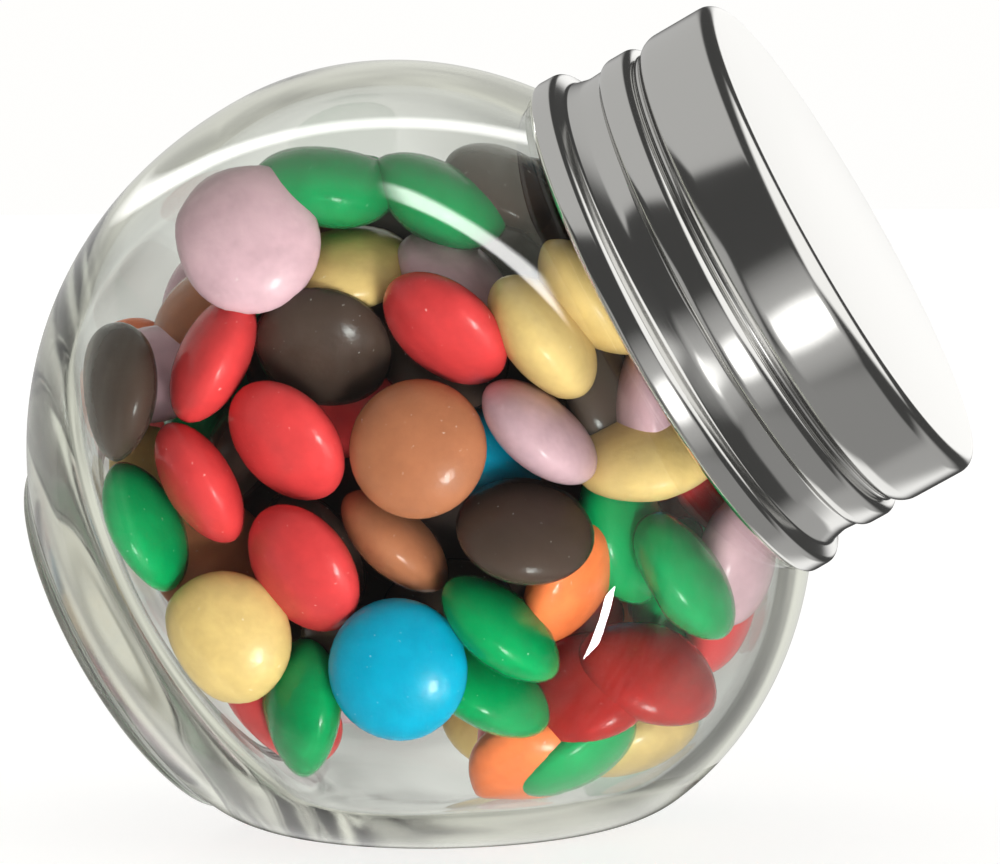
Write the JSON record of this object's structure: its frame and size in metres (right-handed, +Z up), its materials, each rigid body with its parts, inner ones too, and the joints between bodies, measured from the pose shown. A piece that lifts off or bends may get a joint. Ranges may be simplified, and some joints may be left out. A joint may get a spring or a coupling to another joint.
{
  "type": "jar of chocolates",
  "caption": "Thick glass globe jar lying on its side flat, shut by a metal screw lid and full of sugar-shelled chocolate lentils in mixed colours",
  "frame": {"origin": "middle of the side flat that the jar lies on", "axes": "+Z is up as the jar lies, +X points along the surface towards the lid, +Y points away from the viewer, from the front panel to the back panel"},
  "size_m": [0.0965, 0.062, 0.0832],
  "materials": {
    "clear_glass": "polished, clear with a faint grey-green tint",
    "lid_metal": "polished round the side with fine turned lines, smooth on top",
    "sugar_shell": "satin sugar shell in mixed colours"
  },
  "bodies": {
    "root": {"glass_jar": "clear_glass", "lid": "lid_metal", "chocolates": "sugar_shell"}
  },
  "joints": []
}
